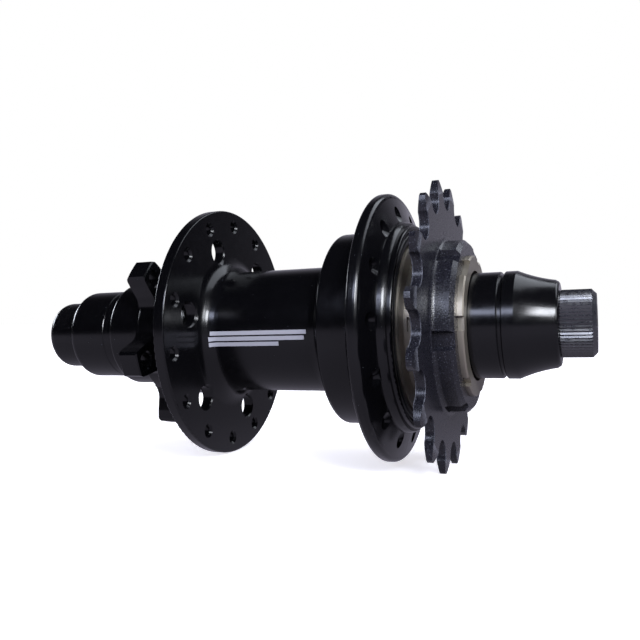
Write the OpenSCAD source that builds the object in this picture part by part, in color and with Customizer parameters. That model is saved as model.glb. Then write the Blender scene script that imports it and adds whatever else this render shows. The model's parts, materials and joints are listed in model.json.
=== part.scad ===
// Rear bicycle hub with a disc mount, a splined driver and a single cog.
// The hub axis is X: +X is the drive side, +Z is up. The origin is on the axis,
// midway between the two faces that the frame clamps.
// An angle is measured about the axis from +Z towards -Y.

/* [Widths along the axle] */
// Width over the two adapters, where the frame clamps
frame_w = 135; // [135:0.5:136]
// Width over the two end caps, without the adapters
core_w = 110; // [110:0.5:111]

/* [Shell] */
// Radius of the tube between the flanges
tube_r = 16.33; // [16.2:0.01:16.6]
// Radius of the left spoke flange
left_flange_r = 33.55; // [33:0.01:34]
// Radius of the right spoke flange
right_flange_r = 33.65; // [33:0.01:34]
// Radius of the drum around the ratchet
drum_r = 24.4; // [24.3:0.05:24.8]
// Radius of the circle of spoke holes in the left flange
left_spoke_circle_r = 29.5; // [29.45:0.05:29.8]
// Radius of the circle of spoke holes in the right flange
right_spoke_circle_r = 28.9; // [28.7:0.05:28.9]
// Radius of a spoke hole
spoke_hole_r = 1.35; // [1.2:0.05:1.5]
// Spoke holes in each flange
spoke_holes = 14; // [14:2:18]
// Angle of the first spoke hole in the left flange
left_spoke_phase = -3.1; // [-13:0.1:13]
// Angle of the first spoke hole in the right flange
right_spoke_phase = 9.7; // [-13:0.1:13]
// Radius of the lightening holes in the left flange
relief_hole_r = 3.1; // [2:0.05:3.2]
// Radius of the circle of lightening holes
relief_circle_r = 22.8; // [22.6:0.05:23]

/* [Disc mount] */
// Radius of the circle of rotor bolt holes
rotor_circle_r = 22; // [22:0.1:22]
// Radius of a rotor bolt hole
rotor_hole_r = 2.1; // [2.1:0.05:2.6]
// Angle of the first rotor tab
rotor_phase = 48.5; // [0:0.5:60]
// Inset of the rotor face from the left end cap's face
rotor_inset = 15.45; // [15.3:0.05:15.5]

/* [Cog] */
// Teeth on the cog
cog_teeth = 16; // [16:1:16]
// Chain pitch
chain_pitch = 12.7; // [12.7:0.1:12.7]
// Radius of the tooth tips
cog_tip_r = 35.74; // [35.5:0.01:35.9]
// Thickness of the toothed plate
cog_plate_w = 2.3; // [2.1:0.1:2.4]
// Radius of the cog's wide base
cog_base_r = 21; // [20.5:0.1:21.5]
// Angle of the first tooth
cog_phase = 11.58; // [0:0.01:22.5]
// Notches in the rim of the base
cog_notches = 6; // [3:1:8]
// Angle of the first notch
notch_phase = 38.5; // [0:0.5:60]

/* [Driver] */
// Radius over the splines
spline_r = 17.1; // [17:0.05:17.3]
// Depth of a spline groove
spline_depth = 1.1; // [0.8:0.05:1.3]
// Grooves around the driver
splines = 7; // [7:1:7]
// Angle of the wide groove
spline_phase = 36.2; // [0:0.1:51]
// Teeth in the ratchet ring
ratchet_teeth = 60; // [60:12:60]
// Pawls in the driver
pawls = 3; // [3:1:3]
// Swing of a pawl from folded to engaged, in degrees
pawl_swing = 12; // [8:1:12]

/* [Axle] */
// Radius of the axle in its bearings
axle_r = 7.5; // [7.5:0.1:7.5]
// Radius of the through bolt
bolt_r = 5; // [5:0.1:5]
// Radius of the bolt's knurled head
bolt_head_r = 7.9; // [7.7:0.05:8]
// Radius of the round nut
nut_r = 9.65; // [9.4:0.05:9.8]

/* [Hidden] */
$fn = 96;

eps = 0.5;            // overshoot of a cut past a face
sink_reach = 1;       // overshoot of a countersink past a sloping face
slip = 0.02;          // radial gap of a fit between fixed pieces
cap_face = core_w / 2;
frame_face = frame_w / 2;
axle_end = cap_face - 1.2;

// Shell stations along X
boss_end = -51.6;
boss_r = 14.5;
rotor_face = -(cap_face - rotor_inset);
tab_w = 5.6;
tab_r = 25.7;
tab_core_r = 17.6;
core_r = 17.3;
left_flange_x = -22.75;
flange_w = 3;
neck_x = 10.15;       // where the tube starts to flare up to the drum
right_flange_x = 25.95;
right_rim_w = 3.1;
lip_shoulder_x = 32.75;
lip_face_x = 34;
lip_r = 25.4;
lip_bore_r = 23.6;

// Bearings: [start in X, width, outer radius, ball circle radius, ball radius, balls]
left_bearing = [-50.2, 5, 12, 9.75, 1.3, 13];
centre_bearing = [8, 7, 14, 10.75, 1.75, 11];
inboard_bearing = [16.2, 5, 12, 9.75, 1.3, 13];
outboard_bearing = [41, 5, 12, 9.75, 1.3, 13];

// Driver stations along X
driver_start = 15.6;
driver_end = 48.05;
driver_flange_x = 34.35;
driver_flange_r = 21.3;
carrier_r = 17.7;

// Cog stations along X
cog_x = 39.2;
cog_end = 46.65;
pitch_r = chain_pitch / 2 / sin(180 / cog_teeth);
roller_r = 3.95;

bolt_end = -73.5;

// Clutch
ratchet_x = 17;
ratchet_w = 9.5;
ratchet_r = 21.78;
crest_r = 18.3;
valley_r = 19.5;
ratchet_pitch = 360 / ratchet_teeth;
ratchet_phase = -22.69;   // angle of a tooth's crest when the pawls are in mesh
valley_lag = 3.18;        // angle from a crest to the valley before it
pawl_x = 19.8;
pawl_w = 5;
pivot_circle_r = 15.4;
pivot_r = 1.6;
pocket_gap = 0.06;

// ---- helpers: a profile is drawn with its radius along x and its station along y ----

// Turns a profile about the hub's axis
module turned() {
  rotate([0, 90, 0]) rotate_extrude() children();
}

// Extrudes a shape drawn as the drive side sees it: +Y to the right, +Z up
module plate(x, w) {
  translate([x, 0, 0]) rotate([90, 0, 90]) linear_extrude(w) children();
}

// Places its children at an angle from +Z towards -Y
module at_angle(a) {
  rotate([a, 0, 0]) children();
}

// A stretch of a profile between two radii and two stations
module band(r0, r1, x0, x1) {
  translate([r0, x0]) square([r1 - r0, x1 - x0]);
}

// Cuts a profile's convex corner to an arc; side points from the corner into the metal
module round_edge(corner, r, side) {
  translate(corner) difference() {
    translate([side[0] > 0 ? -eps : -r, side[1] > 0 ? -eps : -r]) square(r + eps);
    translate(side * r) circle(r);
  }
}

// Fills a profile's concave corner with an arc; side points from the corner into the air
module fillet(corner, r, side) {
  translate(corner) difference() {
    translate([side[0] > 0 ? 0 : -r, side[1] > 0 ? 0 : -r]) square(r);
    translate(side * r) circle(r);
  }
}

// Cuts a profile's corner at 45 degrees; side points from the corner into the metal
module bevel(corner, c, side) {
  translate(corner) polygon([
    [-eps * side[0], -eps * side[1]],
    [side[0] * (c + eps), -eps * side[1]],
    [-eps * side[0], side[1] * (c + eps)]
  ]);
}

// Centre of the arc of radius r through p and q, to the right of the way from p to q
function arc_centre(p, q, r) =
  let (d = q - p, h = norm(d) / 2, n = [d[1], -d[0]] / norm(d))
  (p + q) / 2 + n * sqrt(r * r - h * h);

function polar(r, a) = [-r * sin(a), r * cos(a)];

// A round hole through a wall along X, with a countersink of radius sink_r on both faces
module through_hole(x0, x1, r, sink_r) {
  sink = sink_r - r;
  rotate([0, 90, 0]) {
    translate([0, 0, x0 - sink_reach]) cylinder(r = r, h = x1 - x0 + 2 * sink_reach);
    translate([0, 0, x0 - sink_reach]) cylinder(r1 = sink_r + sink_reach, r2 = r, h = sink + sink_reach);
    translate([0, 0, x1 - sink]) cylinder(r1 = r, r2 = sink_r + sink_reach, h = sink + sink_reach);
  }
}

// ---- shell ----

// Outline of the left flange, its roots and the disc mount's core
module left_end_profile() {
  flange_out = left_flange_x;
  flange_in = left_flange_x + flange_w;
  difference() {
    union() {
      band(9, boss_r, boss_end, rotor_face);
      band(9, tab_core_r, rotor_face, rotor_face + tab_w);
      band(9, core_r, rotor_face, flange_out);
      band(9, left_flange_r, flange_out, flange_in);
      fillet([boss_r, rotor_face], 2.2, [1, -1]);
      fillet([core_r, flange_out], 4.5, [1, -1]);
      fillet([tube_r, flange_in], 4.5, [1, 1]);
    }
    round_edge([boss_r, boss_end], 1.2, [-1, 1]);
    round_edge([tab_core_r, rotor_face], 0.8, [-1, 1]);
    round_edge([left_flange_r, flange_out], 0.45, [-1, 1]);
    round_edge([left_flange_r, flange_in], 0.45, [-1, -1]);
  }
}

// Outline of the drum, the right flange, the bead at the foot of its lip, and the lip
module right_end_profile() {
  rim = right_flange_x + right_rim_w;
  neck_r = 5;
  bead_r = 3;
  bead_centre = [23.6, 30.9];
  difference() {
    union() {
      fillet([tube_r, neck_x + neck_r], neck_r, [1, -1]);
      band(9, drum_r, neck_x + neck_r, right_flange_x);
      band(9, right_flange_r, right_flange_x, rim);
      polygon([[9, rim], [right_flange_r - 1.2, rim], [bead_centre[0] + bead_r - 0.2, bead_centre[1]],
        [9, bead_centre[1]]]);
      intersection() {
        translate(bead_centre) circle(bead_r);
        band(9, bead_centre[0] + bead_r + eps, rim, lip_shoulder_x);
      }
      band(9, lip_r - 0.5, rim, lip_shoulder_x);
      band(9, lip_r, lip_shoulder_x, lip_face_x);
      fillet([drum_r, right_flange_x], 1.6, [1, -1]);
    }
    round_edge([drum_r, neck_x + neck_r], 1, [-1, 1]);
    round_edge([right_flange_r, right_flange_x], 0.9, [-1, 1]);
    round_edge([right_flange_r, rim], 1.2, [-1, -1]);
    round_edge([lip_r, lip_face_x], 0.5, [-1, -1]);
  }
}

// Everything that is bored out of the shell, as one profile
module shell_bore_profile() {
  band(0, left_bearing[2] + 0.2, boss_end - eps, left_bearing[0]);
  band(0, left_bearing[2] + slip, left_bearing[0] - eps, left_bearing[0] + left_bearing[1]);
  band(0, 11, boss_end, -41);
  band(0, 13, -42, 6);
  band(0, 12.6, 0, centre_bearing[0]);
  band(0, centre_bearing[2] + slip, centre_bearing[0], 16);
  band(0, 18.5, centre_bearing[0] + centre_bearing[1], ratchet_x);
  band(0, ratchet_r + slip, ratchet_x, 32);
  band(0, lip_bore_r, 32, lip_face_x + eps);
  bevel([lip_bore_r, lip_face_x], 0.9, [1, -1]);
}

// A rotor tab, pointing up, whose flanks run into the core in an arc
module rotor_tab_outline() {
  waist_half = 4.15;
  shoulder = [3.85, 22.8];
  corner = [3.5, tab_r - 0.9];
  tip = [2.8, tab_r];
  valley_r = 4.1;
  valley_x = waist_half + valley_r;
  valley_reach = tab_core_r + valley_r - 0.1;
  valley_z = sqrt(valley_reach * valley_reach - valley_x * valley_x);
  root = [valley_x, valley_z] / 2.4;
  difference() {
    polygon([root, [valley_x, valley_z], [waist_half, valley_z], shoulder, corner, tip,
      [-tip[0], tip[1]], [-corner[0], corner[1]], [-shoulder[0], shoulder[1]],
      [-waist_half, valley_z], [-valley_x, valley_z], [-root[0], root[1]]]);
    for (side = [-1, 1]) translate([side * valley_x, valley_z]) circle(valley_r);
  }
}

module rotor_tabs() {
  intersection() {
    plate(rotor_face, tab_w) for (k = [0:5]) rotate(rotor_phase + 60 * k) rotor_tab_outline();
    turned() difference() {
      band(8, tab_r + 0.3, rotor_face, rotor_face + tab_w);
      bevel([tab_r, rotor_face], 0.25, [-1, 1]);
      bevel([tab_r, rotor_face + tab_w], 0.25, [-1, -1]);
    }
  }
}

module hub_shell() {
  right_spoke_face_x = right_flange_x + 4.1;
  color("#141416") difference() {
    union() {
      turned() difference() {
        union() {
          left_end_profile();
          band(9, tube_r, left_flange_x + flange_w, neck_x + 6);
          right_end_profile();
        }
        shell_bore_profile();
      }
      difference() {
        rotor_tabs();
        turned() shell_bore_profile();
      }
    }
    for (k = [0:5]) at_angle(rotor_phase + 60 * k) translate([0, 0, rotor_circle_r])
      through_hole(rotor_face, rotor_face + tab_w, rotor_hole_r, rotor_hole_r + 0.4);
    for (k = [0:5]) at_angle(rotor_phase + 30 + 60 * k) translate([0, 0, relief_circle_r])
      through_hole(left_flange_x, left_flange_x + flange_w, relief_hole_r, relief_hole_r + 0.3);
    for (k = [0:spoke_holes - 1]) {
      at_angle(left_spoke_phase + 360 / spoke_holes * k) translate([0, 0, left_spoke_circle_r])
        through_hole(left_flange_x, left_flange_x + flange_w, spoke_hole_r, spoke_hole_r + 0.55);
      at_angle(right_spoke_phase + 360 / spoke_holes * k) translate([0, 0, right_spoke_circle_r])
        through_hole(right_flange_x, right_spoke_face_x, spoke_hole_r, spoke_hole_r + 0.55);
    }
  }
}

// ---- clutch ----

module ratchet_ring() {
  teeth = [for (k = [0:ratchet_teeth - 1], p = [0, 1])
    p == 0 ? polar(crest_r, ratchet_phase + ratchet_pitch * k)
           : polar(valley_r, ratchet_phase + ratchet_pitch * k + valley_lag)];
  color("#8a8a8c") plate(ratchet_x, ratchet_w) difference() {
    circle(ratchet_r);
    polygon(teeth);
  }
}

// A pawl in mesh, with its round root at the top of the driver
module pawl_in_mesh() {
  plate(pawl_x, pawl_w)
    polygon([[0.2, 16.8], [4.82, 17.05], [6.6, 17.93], [5.92, 16.1], [0.4, 13.95]]);
  translate([pawl_x, 0, pivot_circle_r]) rotate([0, 90, 0]) cylinder(r = pivot_r, h = pawl_w);
}

// Pawl k as stored, folded in its pocket
module pawl(k) {
  color("#77777a") at_angle(360 / pawls * k) translate([0, 0, pivot_circle_r])
    at_angle(-pawl_swing) translate([0, 0, -pivot_circle_r]) union() {
      pawl_in_mesh();
    }
}

module pawl_1() {
  pawl(0);
}

module pawl_2() {
  pawl(1);
}

module pawl_3() {
  pawl(2);
}

// The pocket that a pawl and its spring lie in
module pawl_pocket_outline() {
  translate([0, pivot_circle_r]) circle(pivot_r + pocket_gap);
  translate([-0.1, 13.4]) square([7.6, 8]);
}

module pawl_springs() {
  color("#b9b9bd") for (k = [0:pawls - 1]) at_angle(360 / pawls * k) plate(pawl_x + 0.5, pawl_w - 1)
    polygon([[0.6, 13.4], [2.5, 13.4], [6.2, 14.33], [6.14, 14.58], [2.47, 13.65], [0.6, 13.65]]);
}

// ---- driver ----

// The grooves along the driver: even, with the first one wider than the rest
module spline_grooves(r, play) {
  wide_half = 3.3;
  narrow_half = 1.65;
  for (k = [0:splines - 1]) {
    half = (k == 0 ? wide_half : narrow_half) + play;
    rotate(spline_phase + 360 / splines * k) translate([-half, spline_r - spline_depth - play])
      square([2 * half, r]);
  }
}

module driver_profile() {
  difference() {
    union() {
      band(8, carrier_r, driver_start, 28);
      band(8, 18.6, 27.5, 31.6);
      band(8, driver_flange_r, 31.6, driver_flange_x);
      band(8, spline_r, driver_flange_x - 1, driver_end);
    }
    bevel([driver_flange_r, driver_flange_x], 0.3, [-1, -1]);
    bevel([spline_r, driver_end], 0.35, [-1, -1]);
    band(0, inboard_bearing[2] + slip, driver_start - eps, inboard_bearing[0] + inboard_bearing[1]);
    band(0, 10.6, driver_start, driver_end);
    band(0, outboard_bearing[2] + slip, outboard_bearing[0], driver_end + eps);
    band(0, 13.4, outboard_bearing[0] + outboard_bearing[1] + 0.3, driver_end + eps);
  }
}

module driver_body() {
  color("#8d8577") difference() {
    turned() driver_profile();
    plate(driver_flange_x + 0.8, driver_end) spline_grooves(3, 0);
    plate(pawl_x - 0.15, pawl_w + 0.3) for (k = [0:pawls - 1]) rotate(360 / pawls * k)
      pawl_pocket_outline();
  }
}

// ---- cog ----

// One tooth, with convex flanks, pointing up
module cog_tooth() {
  flank_r = 8;
  root = [2.35, pitch_r + 0.6];
  tip = [0.75, cog_tip_r - 0.1];
  centre = arc_centre(tip, root, flank_r);
  intersection() {
    translate([centre[0], centre[1]]) circle(flank_r);
    translate([-centre[0], centre[1]]) circle(flank_r);
  }
}

module cog_plate_outline() {
  difference() {
    union() {
      circle(pitch_r - 2);
      for (k = [0:cog_teeth - 1]) rotate(cog_phase + 360 / cog_teeth * k) cog_tooth();
    }
    for (k = [0:cog_teeth - 1]) rotate(cog_phase + 360 / cog_teeth * (k + 0.5))
      translate([0, pitch_r]) circle(roller_r);
  }
}

module cog_base_profile() {
  plate_out = cog_x + cog_plate_w;
  difference() {
    union() {
      band(15, cog_base_r, cog_x, cog_end);
      fillet([cog_base_r, plate_out], 1.2, [1, 1]);
    }
    bevel([cog_base_r, cog_end], 1, [-1, -1]);
  }
}

// A shallow notch in the base's rim with sloping ends, pointing up
module notch_outline(half, depth) {
  flare = 0.8;
  reach = 3;
  polygon([[-half + flare, cog_base_r - depth], [half - flare, cog_base_r - depth],
    [half + flare * reach / depth, cog_base_r + reach], [-half - flare * reach / depth, cog_base_r + reach]]);
}

module cog() {
  notch_half = 2.3;
  notch_depth = 1.4;
  notch_floor_x = cog_x + cog_plate_w + 0.35;
  color("#2b2b2d") difference() {
    union() {
      intersection() {
        plate(cog_x, cog_plate_w) cog_plate_outline();
        turned() difference() {
          band(10, cog_tip_r, cog_x - eps, cog_x + cog_plate_w + eps);
          for (s = [0, 1]) translate([0, cog_x + s * cog_plate_w]) polygon([
            [cog_tip_r - 3.4, 0], [cog_tip_r + 1, (1 - 2 * s) * 0.6], [cog_tip_r + 1, 0]]);
        }
      }
      turned() cog_base_profile();
    }
    for (k = [0:cog_notches - 1]) plate(notch_floor_x, 8)
      rotate(notch_phase + 360 / cog_notches * k) notch_outline(notch_half, notch_depth);
    plate(cog_x - 1, 10) difference() {
      circle(spline_r + 0.1);
      intersection() {
        spline_grooves(3, -0.1);
        circle(spline_r + 1);
      }
    }
  }
}

// ---- bearings ----

module inner_race(b) {
  shoulder_r = b[3] - b[4] + 0.45;
  color("#c9c9cc") turned() difference() {
    band(axle_r + slip, shoulder_r, b[0], b[0] + b[1]);
    translate([b[3], b[0] + b[1] / 2]) circle(b[4] + 0.07);
  }
}

module outer_race(b) {
  shoulder_r = b[3] + b[4] - 0.45;
  color("#bdbdc0") turned() difference() {
    band(shoulder_r, b[2], b[0], b[0] + b[1]);
    translate([b[3], b[0] + b[1] / 2]) circle(b[4] + 0.07);
  }
}

module bearing_seals(b) {
  inner = b[3] - b[4] + 0.45 + 0.08;
  outer = b[3] + b[4] - 0.45;
  color("#1b1b1d") turned() {
    band(inner, outer, b[0] + 0.1, b[0] + 0.5);
    band(inner, outer, b[0] + b[1] - 0.5, b[0] + b[1] - 0.1);
  }
}

module bearing_balls(b) {
  color("#d8d8dc") for (k = [0:b[5] - 1]) at_angle(360 / b[5] * k)
    translate([b[0] + b[1] / 2, 0, b[3]]) sphere(b[4]);
}

module bearing_cage(b) {
  color("#a67c4e") difference() {
    turned() band(b[3] - 0.45, b[3] + 0.45, b[0] + b[1] / 2 - b[4] - 0.15, b[0] + b[1] / 2 + b[4] * 0.4);
    for (k = [0:b[5] - 1]) at_angle(360 / b[5] * k)
      translate([b[0] + b[1] / 2, 0, b[3]]) sphere(b[4] + 0.06);
  }
}

module left_inner_race() {
  inner_race(left_bearing);
}

module left_outer_race() {
  outer_race(left_bearing);
}

module left_bearing_seals() {
  bearing_seals(left_bearing);
}

module left_bearing_balls() {
  bearing_balls(left_bearing);
}

module left_bearing_cage() {
  bearing_cage(left_bearing);
}

module centre_inner_race() {
  inner_race(centre_bearing);
}

module centre_outer_race() {
  outer_race(centre_bearing);
}

module centre_bearing_seals() {
  bearing_seals(centre_bearing);
}

module centre_bearing_balls() {
  bearing_balls(centre_bearing);
}

module centre_bearing_cage() {
  bearing_cage(centre_bearing);
}

module inboard_inner_race() {
  inner_race(inboard_bearing);
}

module inboard_outer_race() {
  outer_race(inboard_bearing);
}

module inboard_bearing_seals() {
  bearing_seals(inboard_bearing);
}

module inboard_bearing_balls() {
  bearing_balls(inboard_bearing);
}

module inboard_bearing_cage() {
  bearing_cage(inboard_bearing);
}

module outboard_inner_race() {
  inner_race(outboard_bearing);
}

module outboard_outer_race() {
  outer_race(outboard_bearing);
}

module outboard_bearing_seals() {
  bearing_seals(outboard_bearing);
}

module outboard_bearing_balls() {
  bearing_balls(outboard_bearing);
}

module outboard_bearing_cage() {
  bearing_cage(outboard_bearing);
}

// The black rubber ring between the shell's lip and the driver's flange
module shell_lip_seal() {
  seal_face_x = 33.9;
  seal_bore_r = driver_flange_r + 0.3;
  color("#0e0e10") turned() difference() {
    band(seal_bore_r, lip_bore_r, 32, seal_face_x);
    round_edge([seal_bore_r, seal_face_x], 0.5, [1, -1]);
    round_edge([lip_bore_r, seal_face_x], 0.6, [-1, -1]);
  }
}

// ---- axle ----

module axle_tube() {
  shoulder_r = 8.8;
  color("#9a9a9e") turned() difference() {
    union() {
      band(bolt_r + 0.25, axle_r, -axle_end, axle_end);
      band(bolt_r + 0.25, shoulder_r, left_bearing[0] + left_bearing[1], centre_bearing[0]);
    }
    bevel([axle_r, axle_end], 0.4, [-1, -1]);
    bevel([axle_r, -axle_end], 0.4, [-1, 1]);
  }
}

module inner_spacer() {
  color("#8f8f93") turned()
    band(axle_r + slip, 8.7, centre_bearing[0] + centre_bearing[1], inboard_bearing[0]);
}

module driver_spacer() {
  color("#8f8f93") turned()
    band(axle_r + slip, 8.9, inboard_bearing[0] + inboard_bearing[1], outboard_bearing[0]);
}

module left_end_cap() {
  cap_r = 12.6;
  color("#141416") turned() difference() {
    union() {
      band(axle_r + slip, cap_r, -cap_face, -52.1);
      band(axle_r + slip, 11.5, -52.2, -50.8);
      band(axle_r + slip, 8.7, -51, left_bearing[0]);
    }
    bevel([cap_r, -cap_face], 0.15, [-1, 1]);
    bevel([cap_r, -52.1], 0.2, [-1, -1]);
  }
}

module right_end_cap() {
  cap_r = 12.8;
  groove_x = cap_face - 0.5;
  bearing_end = outboard_bearing[0] + outboard_bearing[1];
  color("#141416") turned() difference() {
    union() {
      band(axle_r + slip, cap_r, 46.9, groove_x);
      band(axle_r + slip, 12, groove_x - 1, cap_face);
      band(axle_r + slip, 8.7, bearing_end, 47.5);
    }
    bevel([cap_r, 46.9], 0.3, [-1, 1]);
    bevel([cap_r, groove_x], 0.25, [-1, -1]);
  }
}

module left_adapter() {
  adapter_r = 12.6;
  color("#141416") turned() difference() {
    union() {
      band(bolt_r + 0.25, adapter_r, -frame_face, -cap_face);
      band(bolt_r + 0.25, axle_r - 0.1, -cap_face - 1, -cap_face + 1);
    }
    round_edge([adapter_r, -frame_face], 2.2, [-1, 1]);
    bevel([adapter_r, -cap_face], 0.15, [-1, -1]);
  }
}

module right_adapter() {
  adapter_r = 12.85;
  step_x = cap_face + 0.35;
  taper_start = [adapter_r - 0.05, cap_face + 3.25];
  taper_end = [10.25, frame_face - 0.55];
  taper_arc = 32;
  centre = arc_centre(taper_start, taper_end, taper_arc);
  color("#141416") turned() difference() {
    union() {
      band(bolt_r + 0.25, adapter_r, step_x, frame_face);
      band(bolt_r + 0.25, 12, cap_face, step_x + 1);
      band(bolt_r + 0.25, axle_r - 0.1, cap_face - 1, cap_face + 1);
    }
    translate(centre) circle(taper_arc);
    bevel([adapter_r, step_x], 0.25, [-1, 1]);
    round_edge([10.12, frame_face], 0.8, [-1, -1]);
  }
}

module through_bolt() {
  head_w = 7.9;
  head_end = frame_face + head_w;
  ridges = 60;
  ridge_depth = 0.28;
  socket_flat_r = 4;
  socket_depth = 5;
  knurl = [for (k = [0:2 * ridges - 1]) polar(bolt_head_r - (k % 2) * ridge_depth, 180 / ridges * k)];
  color("#1c1c1e") difference() {
    union() {
      turned() band(0, bolt_r - 0.05, bolt_end, frame_face + 1);
      intersection() {
        plate(frame_face, head_w) polygon(knurl);
        turned() difference() {
          band(0, bolt_head_r + 1, frame_face - eps, head_end);
          bevel([bolt_head_r, head_end], 1.1, [-1, -1]);
          bevel([bolt_head_r, frame_face], 0.3, [-1, 1]);
        }
      }
    }
    plate(head_end - socket_depth, socket_depth + 1) circle(socket_flat_r * 2 / sqrt(3), $fn = 6);
  }
}

module round_nut() {
  nut_end = frame_face + 10.65;
  socket_flat_r = 3;
  socket_depth = 3.4;
  color("#161618") difference() {
    turned() difference() {
      band(0, nut_r, -nut_end, -frame_face);
      band(0, bolt_r, bolt_end - 0.5, -frame_face + eps);
      round_edge([nut_r, -nut_end], 2.7, [-1, 1]);
      bevel([nut_r, -frame_face], 0.3, [-1, -1]);
    }
    plate(-nut_end - 1, socket_depth + 1) circle(socket_flat_r * 2 / sqrt(3), $fn = 6);
  }
}

hub_shell();
ratchet_ring();
shell_lip_seal();
axle_tube();
left_end_cap();
right_end_cap();
left_adapter();
right_adapter();
through_bolt();
round_nut();
inner_spacer();
driver_spacer();
left_inner_race();
left_outer_race();
left_bearing_seals();
left_bearing_balls();
left_bearing_cage();
centre_inner_race();
centre_outer_race();
centre_bearing_seals();
centre_bearing_balls();
centre_bearing_cage();
inboard_inner_race();
inboard_outer_race();
inboard_bearing_seals();
inboard_bearing_balls();
inboard_bearing_cage();
outboard_inner_race();
outboard_outer_race();
outboard_bearing_seals();
outboard_bearing_balls();
outboard_bearing_cage();
driver_body();
cog();
pawl_springs();
pawl_1();
pawl_2();
pawl_3();
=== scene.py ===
"""The looks of a rear bicycle hub: materials, fine details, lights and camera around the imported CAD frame.

Metres, in the CAD frame: +X along the axle to the drive side, +Z up, and the origin midway between the
dropout faces.
"""

import json
import math

import bpy
from mathutils import Euler, Matrix, Vector


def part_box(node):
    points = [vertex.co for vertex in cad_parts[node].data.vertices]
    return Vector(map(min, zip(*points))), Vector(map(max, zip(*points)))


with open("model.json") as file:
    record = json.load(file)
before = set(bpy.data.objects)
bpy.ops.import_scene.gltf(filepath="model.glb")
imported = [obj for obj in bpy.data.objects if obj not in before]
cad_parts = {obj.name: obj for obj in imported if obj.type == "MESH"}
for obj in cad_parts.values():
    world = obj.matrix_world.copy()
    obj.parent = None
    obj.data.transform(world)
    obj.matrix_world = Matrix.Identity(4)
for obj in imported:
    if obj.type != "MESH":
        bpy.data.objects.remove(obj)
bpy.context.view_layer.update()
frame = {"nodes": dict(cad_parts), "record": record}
NODES = frame["nodes"]

# ---------------------------------------------------------------- camera

CAMERA_TARGET = Vector((0.00666, 0.0, 0.00247))
CAMERA_DISTANCE = 0.1866
CAMERA_AZIMUTH = math.radians(22.568)
CAMERA_ELEVATION = math.radians(-0.576)
CAMERA_ROLL = math.radians(1.385)
CAMERA_LENS = 39.39


def make_camera():
    """The camera looks at the hub from the front right, at the height of the axle."""
    back = Vector((math.sin(CAMERA_AZIMUTH) * math.cos(CAMERA_ELEVATION),
                   -math.cos(CAMERA_AZIMUTH) * math.cos(CAMERA_ELEVATION),
                   math.sin(CAMERA_ELEVATION)))
    data = bpy.data.cameras.new("camera")
    data.lens = CAMERA_LENS
    data.clip_start = 0.01
    cam = bpy.data.objects.new("camera", data)
    bpy.context.scene.collection.objects.link(cam)
    cam.rotation_mode = "QUATERNION"
    aim = (-back).to_track_quat("-Z", "Y")
    cam.rotation_quaternion = aim @ Euler((0, 0, -CAMERA_ROLL)).to_quaternion()
    cam.location = CAMERA_TARGET + back * CAMERA_DISTANCE
    bpy.context.scene.camera = cam


make_camera()

# ---------------------------------------------------------------- node helpers


class Nodes:
    """A short way to write a material's node tree."""

    def __init__(self, name):
        self.material = bpy.data.materials.new(name)
        self.material.use_nodes = True
        self.tree = self.material.node_tree
        self.shader = self.tree.nodes["Principled BSDF"]

    def add(self, kind, **settings):
        node = self.tree.nodes.new(kind)
        for key, value in settings.items():
            setattr(node, key, value)
        return node

    def put(self, socket, value):
        """Links the value if it is another node's output, or else sets it as a constant."""
        if isinstance(value, bpy.types.NodeSocket):
            self.tree.links.new(value, socket)
        else:
            socket.default_value = value

    def set(self, **sockets):
        """Fills the shader's sockets, named with _ for each space."""
        for key, value in sockets.items():
            self.put(self.shader.inputs[key.replace("_", " ")], value)

    def place(self):
        """Positions in the CAD frame, in metres, that ride with each piece."""
        return self.add("ShaderNodeTexCoord").outputs["Object"]

    def noise(self, scale, detail, roughness=0.5):
        node = self.add("ShaderNodeTexNoise")
        self.put(node.inputs["Vector"], self.place())
        node.inputs["Scale"].default_value = scale
        node.inputs["Detail"].default_value = detail
        node.inputs["Roughness"].default_value = roughness
        return node.outputs["Fac"]

    def span(self, value, low, high, out_low, out_high):
        """Maps low..high to out_low..out_high, and holds the ends beyond them."""
        node = self.add("ShaderNodeMapRange")
        for key, setting in (("Value", value), ("From Min", low), ("From Max", high),
                             ("To Min", out_low), ("To Max", out_high)):
            self.put(node.inputs[key], setting)
        return node.outputs["Result"]

    def math(self, operation, a, b=None):
        node = self.add("ShaderNodeMath", operation=operation)
        self.put(node.inputs[0], a)
        if b is not None:
            self.put(node.inputs[1], b)
        return node.outputs[0]

    def bump(self, height, distance, strength=1.0, normal=None):
        node = self.add("ShaderNodeBump")
        self.put(node.inputs["Height"], height)
        node.inputs["Distance"].default_value = distance
        node.inputs["Strength"].default_value = strength
        if normal is not None:
            self.put(node.inputs["Normal"], normal)
        return node.outputs["Normal"]

    def blend_colour(self, factor, a, b):
        node = self.add("ShaderNodeMix", data_type="RGBA")
        self.put(node.inputs[0], factor)
        for socket, colour in ((node.inputs[6], a), (node.inputs[7], b)):
            self.put(socket, colour if isinstance(colour, bpy.types.NodeSocket) else (*colour, 1.0))
        return node.outputs[2]


# ---------------------------------------------------------------- materials

BLACK = (0.0012, 0.0012, 0.0016)
# The colour of the bright specks: dust on the anodised parts, painted glints on the steel parts.
DUST_AND_GLINT = (0.3, 0.32, 0.38)
PRINT_WHITE = (0.36, 0.36, 0.4)

# The distance between turning marks: on the black parts, and on bare machined metal.
ANODISED_PITCH = 0.00022
MACHINED_PITCH = 0.00018

# The stripes lie on the tube: the range of radius that holds its surface, half a stripe's width as an angle
# in radians, and each stripe's angle in degrees with the two stations along the axle where it ends.
TUBE_RADIUS = (0.0155, 0.0170)
STRIPE_HALF_ANGLE = 0.032
STRIPES = ((91.5, -0.0172, 0.0096), (96.5, -0.0176, 0.0090), (101.5, -0.0180, 0.0020))
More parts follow.
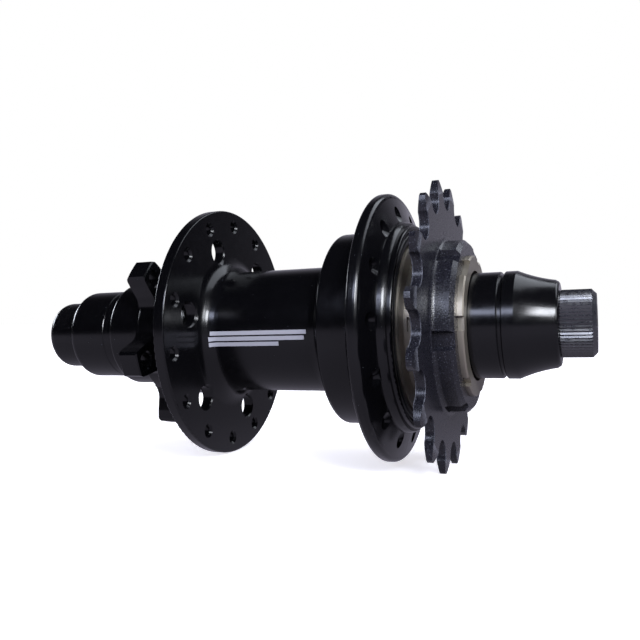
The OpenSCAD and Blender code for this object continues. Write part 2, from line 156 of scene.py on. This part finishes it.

# The cog's toothed plate starts at the cog's low end and is this thick. The coarse base lies inside the
# first radius, and the teeth with a painted edge highlight outside the second. The painted highlight runs
# this far in from each face of the plate, and stops just short of the face itself.
COG_PLATE = 0.0023
COG_BASE_RADIUS = 0.0235
COG_HIGHLIGHT_RADIUS = 0.0285
COG_HIGHLIGHT_DEPTH = 0.00028
COG_FACE_DEPTH = 0.00003


def around_axle(m):
    """A point's station, radius and angle about the axle; the angle runs from +Z towards -Y, in radians."""
    split = m.add("ShaderNodeSeparateXYZ")
    m.put(split.inputs[0], m.place())
    x, y, z = (split.outputs[axis] for axis in "XYZ")
    radius = m.math("SQRT", m.math("ADD", m.math("MULTIPLY", y, y), m.math("MULTIPLY", z, z)))
    return x, radius, m.math("ARCTAN2", m.math("MULTIPLY", y, -1.0), z)


def turning_marks(m, pitch):
    """A wave along the axle, as a lathe leaves it."""
    x, _, _ = around_axle(m)
    return m.math("SINE", m.math("MULTIPLY", x, 2 * math.pi / pitch))


def within(m, value, low, high):
    """1 where the value is between low and high, 0 elsewhere."""
    return m.math("MULTIPLY", m.math("GREATER_THAN", value, low), m.math("LESS_THAN", value, high))


def wandering(m, scale, detail, low, high):
    """A value that wanders between low and high."""
    return m.span(m.noise(scale, detail), 0.3, 0.7, low, high)


def mottled(m, scale, detail, colour, factor):
    """The colour, in patches that tend towards that many times its brightness."""
    return m.blend_colour(m.noise(scale, detail), colour, tuple(c * factor for c in colour))


def dust_and_glint_specks(m, base, cell, size, share, strength):
    """The base colour with round bright specks, one in each cell, kept in a share of the cells: dust on the
    anodised parts, painted glints on the steel parts.
    """
    voronoi = m.add("ShaderNodeTexVoronoi")
    m.put(voronoi.inputs["Vector"], m.place())
    voronoi.inputs["Scale"].default_value = 1 / cell
    dot = m.span(voronoi.outputs["Distance"], size / cell, 0.5 * size / cell, 0.0, 1.0)
    pick = m.add("ShaderNodeSeparateColor")
    m.put(pick.inputs[0], voronoi.outputs["Color"])
    specks = m.math("MULTIPLY", dot, m.math("LESS_THAN", pick.outputs[0], share))
    return m.blend_colour(m.math("MULTIPLY", specks, strength), base, DUST_AND_GLINT)


def stripes_print(m):
    """Three plain white stripes printed on the front of the tube, as a mask."""
    x, radius, angle = around_axle(m)
    mask = 0.0
    for degrees, low, high in STRIPES:
        middle = math.radians(degrees)
        across = within(m, angle, middle - STRIPE_HALF_ANGLE, middle + STRIPE_HALF_ANGLE)
        mask = m.math("ADD", mask, m.math("MULTIPLY", across, within(m, x, low, high)))
    return m.math("MULTIPLY", mask, within(m, radius, *TUBE_RADIUS))


def black_anodised(name, rough=(0.17, 0.23), printed=False):
    """Polished, black-dyed aluminium: nearly black, glossy, with faint turning marks and a little dust."""
    m = Nodes(name)
    base = dust_and_glint_specks(m, mottled(m, 90, 3, BLACK, 1.8), cell=0.0016, size=0.00007, share=0.4, strength=0.5)
    roughness = wandering(m, 400, 2, *rough)
    if printed:
        mask = stripes_print(m)
        base = m.blend_colour(mask, base, PRINT_WHITE)
        roughness = m.math("ADD", roughness, m.math("MULTIPLY", mask, 0.3))
    height = m.math("ADD", m.noise(2600, 1), m.math("MULTIPLY", turning_marks(m, ANODISED_PITCH), 0.15))
    m.set(Base_Color=base, Roughness=roughness, Metallic=0.0, IOR=1.43,
          Normal=m.bump(height, 0.0000015, 0.3))
    return m.material


def satin_steel(name, colour, rough, ior):
    """Blasted and blackened steel with a fine grain, and small bright glints painted into its colour as
    specks.
    """
    m = Nodes(name)
    # Painted glints: bright bluish specks mixed into the base colour.
    base = dust_and_glint_specks(m, mottled(m, 250, 4, colour, 1.5), cell=0.0009, size=0.00006, share=0.5, strength=0.5)
    m.set(Base_Color=base, Roughness=wandering(m, 900, 3, rough - 0.07, rough + 0.07), Metallic=0.0, IOR=ior,
          Normal=m.bump(m.noise(1800, 4, roughness=0.65), 0.000006))
    return m.material


def cog_steel(name):
    """Satin dark steel, coarser on the base, with bright specks painted in as glints, and a highlight
    painted a little brighter along the teeth's edges.
    """
    m = Nodes(name)
    x, radius, _ = around_axle(m)
    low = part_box("cog")[0].x
    high = low + COG_PLATE
    near_low = m.span(x, low, low + COG_HIGHLIGHT_DEPTH, 1.0, 0.0)
    near_high = m.span(x, high - COG_HIGHLIGHT_DEPTH, high, 0.0, 1.0)
    from_middle = m.math("ABSOLUTE", m.math("SUBTRACT", x, low + COG_PLATE / 2))
    on_flank = m.span(from_middle, COG_PLATE / 2 - COG_FACE_DEPTH, COG_PLATE / 2, 1.0, 0.0)
    on_teeth = m.math("GREATER_THAN", radius, COG_HIGHLIGHT_RADIUS)
    on_edges = m.math("MULTIPLY", m.math("MAXIMUM", near_low, near_high), on_flank)
    painted_edge_highlight = m.math("MULTIPLY", on_edges, on_teeth)
    patchy = m.span(m.noise(900, 4), 0.4, 0.65, 0.4, 1.0)
    on_base = m.math("LESS_THAN", radius, COG_BASE_RADIUS)
    mottle = m.span(m.noise(4000, 3), 0.4, 0.65, 0.0, 1.0)
    base = m.blend_colour(mottle, (0.003, 0.003, 0.005), (0.012, 0.012, 0.018))
    # Painted glints: bright bluish specks mixed into the base colour, as sparkle on the grain.
    base = dust_and_glint_specks(m, base, cell=0.0004, size=0.0001, share=0.5, strength=0.3)
    # Painted highlight: the teeth's edges near each face turn a lighter blue-grey, in place of light caught
    # on their rounded edges.
    base = m.blend_colour(m.math("MULTIPLY", painted_edge_highlight, patchy), base, (0.13, 0.135, 0.16))
    fine = m.bump(m.noise(7000, 2), 0.000006, 0.8)
    coarse_grain = m.math("MULTIPLY", m.noise(3200, 2, roughness=0.6), on_base)
    m.set(Base_Color=base, Roughness=wandering(m, 2500, 3, 0.24, 0.32), Metallic=0.0, IOR=1.5,
          Normal=m.bump(coarse_grain, 0.00005, 0.9, normal=fine))
    return m.material


def champagne_alloy(name):
    """Nickel-plated alloy of a warm grey, satin, with faint blasted grain."""
    m = Nodes(name)
    base = m.blend_colour(m.noise(160, 3), (0.30, 0.27, 0.22), (0.34, 0.31, 0.26))
    m.set(Base_Color=base, Roughness=wandering(m, 1200, 3, 0.36, 0.44), Metallic=0.85,
          Normal=m.bump(m.noise(3000, 3), 0.0000025, 0.5))
    return m.material


def turned_metal(name, colour, rough):
    """Machined metal with fine turning lines around the axle."""
    m = Nodes(name)
    m.set(Base_Color=mottled(m, 200, 3, colour, 0.85),
          Roughness=wandering(m, 700, 2, rough - 0.06, rough + 0.06), Metallic=1.0,
          Normal=m.bump(turning_marks(m, MACHINED_PITCH), 0.0000012, 0.4))
    return m.material


def rubber(name):
    """Dull black rubber."""
    m = Nodes(name)
    m.set(Base_Color=m.blend_colour(m.noise(600, 3), (0.005, 0.005, 0.006), (0.010, 0.010, 0.011)),
          Roughness=wandering(m, 1500, 2, 0.28, 0.4),
          Normal=m.bump(m.noise(2500, 3), 0.000004))
    return m.material


def cage_polymer(name):
    """Brown moulded polymer."""
    m = Nodes(name)
    m.set(Base_Color=m.blend_colour(m.noise(500, 3), (0.28, 0.16, 0.06), (0.36, 0.22, 0.1)),
          Roughness=wandering(m, 900, 2, 0.4, 0.55),
          Normal=m.bump(m.noise(1800, 3), 0.000006))
    return m.material


MATERIALS = {
    "black_anodised": black_anodised("black_anodised"),
    "black_nut": black_anodised("black_nut", rough=(0.2, 0.28)),
    "cog_steel": cog_steel("cog_steel"),
    "black_oxide_steel": satin_steel("black_oxide_steel", (0.006, 0.006, 0.009), rough=0.3, ior=2.0),
    "driver_alloy": champagne_alloy("driver_alloy"),
    "hard_steel": turned_metal("hard_steel", (0.36, 0.36, 0.37), 0.32),
    "spring_steel": turned_metal("spring_steel", (0.55, 0.55, 0.57), 0.25),
    "bearing_steel": turned_metal("bearing_steel", (0.62, 0.62, 0.64), 0.18),
    "bearing_ball": turned_metal("bearing_ball", (0.75, 0.75, 0.77), 0.1),
    "raw_aluminium": turned_metal("raw_aluminium", (0.66, 0.66, 0.68), 0.3),
    "black_rubber": rubber("black_rubber"),
    "cage_polymer": cage_polymer("cage_polymer"),
}
SPECIAL = {"hub_shell": black_anodised("black_anodised_printed", printed=True)}

for part in frame["record"]["subparts"]:
    mesh = NODES[part["node"]].data
    mesh.materials.clear()
    mesh.materials.append(SPECIAL.get(part["node"], MATERIALS[part["material_slot"]]))

# ---------------------------------------------------------------- floor and lights

# The middle of the left flange's rim, which the hub rests on.
LEFT_FLANGE_X = -0.02125

# The table's half width, and the number of squares along each side.
TABLE_HALF = 4.0
TABLE_STEPS = 8

# How bright the table is to the camera, near the hub and far from it, and the distances between which it
# changes.
SEEN_NEAR = 0.7
SEEN_FAR = 1.1
SEEN_DISTANCES = (0.12, 0.5)

# How bright the table is to the hub, in front and behind, and the values of Y between which it changes.
GLOW_FRONT = 0.55
GLOW_BEHIND = 0.25
GLOW_RANGE = (-0.1, 0.08)

# How bright the sheet behind the hub and the room are to the hub. The sheet comes in as a direction's Y goes
# through the rise. It fades out to the right, to the left and overhead: each row has an axis, the value of
# the direction where nothing is left, and the value where the sheet is full.
SHEET_GLOW = 0.7
ROOM_GLOW = 0.01
SHEET_RISE = (0.1, 0.6)
SHEET_FADES = (("X", 0.55, 0.0), ("X", -0.85, -0.45), ("Z", 0.75, 0.15))

COOL_WHITE = (0.9, 0.93, 1.0)
BLUER_WHITE = (0.85, 0.9, 1.0)


def floor_plane():
    """The hub lies on its left flange and its cog: the floor's tilt and height under the origin."""
    shell_low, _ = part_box("hub_shell")
    cog_low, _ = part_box("cog")
    cog_x = cog_low.x + COG_PLATE / 2
    tilt = math.atan((cog_low.z - shell_low.z) / (cog_x - LEFT_FLANGE_X))
    return tilt, shell_low.z - math.tan(tilt) * LEFT_FLANGE_X


def make_stage():
    """A wide white table: white to the camera, with faint shadows, and to the hub brighter in front."""
    tilt, height = floor_plane()
    mesh = bpy.data.meshes.new("table")
    places = [-TABLE_HALF + 2 * TABLE_HALF * k / TABLE_STEPS for k in range(TABLE_STEPS + 1)]
    verts = [(x, y, 0.0) for y in places for x in places]
    row = TABLE_STEPS + 1
    faces = [(j * row + i, j * row + i + 1, (j + 1) * row + i + 1, (j + 1) * row + i)
             for j in range(TABLE_STEPS) for i in range(TABLE_STEPS)]
    mesh.from_pydata(verts, [], faces)
    table = bpy.data.objects.new("table", mesh)
    bpy.context.scene.collection.objects.link(table)
    table.matrix_world = Matrix.Translation((0, 0, height)) @ Matrix.Rotation(-tilt, 4, "Y")
    paper = Nodes("table_white")
    split = paper.add("ShaderNodeSeparateXYZ")
    paper.put(split.inputs[0], paper.place())
    distance = paper.add("ShaderNodeVectorMath", operation="LENGTH")
    paper.put(distance.inputs[0], paper.place())
    paper.set(Base_Color=(0.86, 0.86, 0.9, 1), Roughness=0.7, Specular_IOR_Level=0.2,
              Emission_Color=(0.97, 0.955, 1.0, 1),
              Emission_Strength=paper.span(distance.outputs["Value"], *SEEN_DISTANCES, SEEN_NEAR, SEEN_FAR))
    glow = paper.add("ShaderNodeEmission")
    glow.inputs["Color"].default_value = (0.84, 0.8, 1.0, 1)
    strength = paper.span(split.outputs["Y"], *GLOW_RANGE, GLOW_FRONT, GLOW_BEHIND)
    paper.put(glow.inputs["Strength"], strength)
    seen = paper.add("ShaderNodeLightPath")
    mix = paper.add("ShaderNodeMixShader")
    paper.put(mix.inputs[0], seen.outputs["Is Camera Ray"])
    paper.put(mix.inputs[1], glow.outputs[0])
    paper.put(mix.inputs[2], paper.shader.outputs[0])
    paper.put(paper.tree.nodes["Material Output"].inputs["Surface"], mix.outputs[0])
    mesh.materials.append(paper.material)


def area_light(name, place, size, radiance, colour=(1, 1, 1), in_gloss=True):
    """A soft box at that place that faces the origin; it may be left out of reflections."""
    data = bpy.data.lights.new(name, "AREA")
    data.shape = "RECTANGLE"
    data.size, data.size_y = size
    data.energy = radiance * math.pi * size[0] * size[1]
    data.color = colour
    light = bpy.data.objects.new(name, data)
    bpy.context.scene.collection.objects.link(light)
    light.location = place
    light.rotation_mode = "QUATERNION"
    light.rotation_quaternion = Vector(place).to_track_quat("Z", "Y")
    light.visible_glossy = in_gloss
    light.visible_camera = False


def ramp(tree, value, low, high, top=1.0):
    """Runs from 0 at low to top at high, and stays there."""
    node = tree.nodes.new("ShaderNodeMapRange")
    tree.links.new(value, node.inputs["Value"])
    node.inputs["From Min"].default_value = low
    node.inputs["From Max"].default_value = high
    node.inputs["To Max"].default_value = top
    return node.outputs["Result"]


def make_world():
    """The hub sees a dark room with a lit sheet behind it. The camera sees plain white."""
    world = bpy.data.worlds.new("studio")
    world.use_nodes = True
    tree = world.node_tree
    wall = tree.nodes["Background"]
    wall.inputs["Color"].default_value = (1, 1, 1, 1)
    room = tree.nodes.new("ShaderNodeBackground")
    room.inputs["Color"].default_value = (0.85, 0.82, 1.0, 1)
    way = tree.nodes.new("ShaderNodeSeparateXYZ")
    tree.links.new(tree.nodes.new("ShaderNodeTexCoord").outputs["Generated"], way.inputs[0])
    glow = ramp(tree, way.outputs["Y"], *SHEET_RISE, top=SHEET_GLOW)
    for axis, edge, full in SHEET_FADES:
        product = tree.nodes.new("ShaderNodeMath")
        product.operation = "MULTIPLY"
        tree.links.new(glow, product.inputs[0])
        tree.links.new(ramp(tree, way.outputs[axis], edge, full), product.inputs[1])
        glow = product.outputs[0]
    total = tree.nodes.new("ShaderNodeMath")
    total.inputs[1].default_value = ROOM_GLOW
    tree.links.new(glow, total.inputs[0])
    tree.links.new(total.outputs[0], room.inputs["Strength"])
    seen = tree.nodes.new("ShaderNodeLightPath")
    mix = tree.nodes.new("ShaderNodeMixShader")
    tree.links.new(seen.outputs["Is Camera Ray"], mix.inputs[0])
    tree.links.new(room.outputs[0], mix.inputs[1])
    tree.links.new(wall.outputs[0], mix.inputs[2])
    tree.links.new(mix.outputs[0], tree.nodes["World Output"].inputs["Surface"])
    bpy.context.scene.world = world


def make_lights():
    """A fill overhead, two key lights near the camera, and others from the right, the rear and the left."""
    area_light("overhead", (0.0, -0.04, 1.2), (2.2, 2.2), 0.9, in_gloss=False)
    area_light("key_bright", (0.116, -0.148, 0.087), (0.055, 0.053), 38.0, colour=COOL_WHITE)
    area_light("key_wide", (0.03, -0.22, 0.118), (0.13, 0.045), 12.0, colour=(0.7, 0.76, 1.0))
    area_light("key_right", (0.4, -0.205, 0.18), (0.12, 0.12), 18.0, colour=COOL_WHITE)
    area_light("rear", (0.42, 0.34, 0.7), (0.8, 0.5), 2.5, colour=BLUER_WHITE)
    area_light("left", (-0.87, 0.1, 0.3), (0.5, 0.14), 12.0, colour=BLUER_WHITE)


bpy.context.scene.view_settings.view_transform = "Standard"
make_stage()
make_world()
make_lights()
